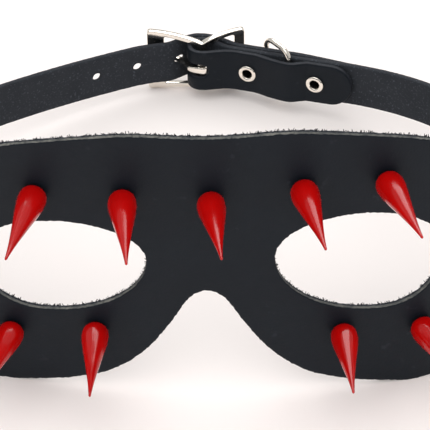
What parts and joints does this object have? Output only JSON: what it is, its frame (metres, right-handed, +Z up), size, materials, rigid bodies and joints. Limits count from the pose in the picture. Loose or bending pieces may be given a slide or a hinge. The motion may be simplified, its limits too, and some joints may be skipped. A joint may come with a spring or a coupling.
{
  "type": "spiked eye mask",
  "caption": "Leather half mask with eye openings, a nose notch and cone spikes, held by a buckled strap round the head.",
  "frame": {"origin": "middle of the base, on the surface that the mask's two lobes and the buckle stand on", "axes": "+Z up, the mask's outer face and its spikes towards -Y, the buckle at the back towards +Y, +X to the right seen from the front"},
  "size_m": [0.1864, 0.1752, 0.09],
  "materials": {
    "mask_leather": "satin",
    "strap_leather": "satin",
    "red_paint": "gloss",
    "nickel": "polished",
    "steel": "satin"
  },
  "bodies": {
    "root": {"mask_panel": "mask_leather", "holed_strap": "strap_leather", "buckle_strap": "strap_leather", "buckle_frame": "nickel", "buckle_tongue": "nickel", "keeper_ring": "nickel", "eyelet_near": "nickel", "eyelet_far": "nickel", "temple_rivet_left": "nickel", "temple_rivet_right": "nickel", "spike_top_1": "red_paint", "spike_top_2": "red_paint", "spike_top_3": "red_paint", "spike_top_4": "red_paint", "spike_top_5": "red_paint", "spike_low_1": "red_paint", "spike_low_2": "red_paint", "spike_low_3": "red_paint", "spike_low_4": "red_paint", "screw_top_1": "steel", "screw_top_2": "steel", "screw_top_3": "steel", "screw_top_4": "steel", "screw_top_5": "steel", "screw_low_1": "steel", "screw_low_2": "steel", "screw_low_3": "steel", "screw_low_4": "steel"}
  },
  "joints": []
}
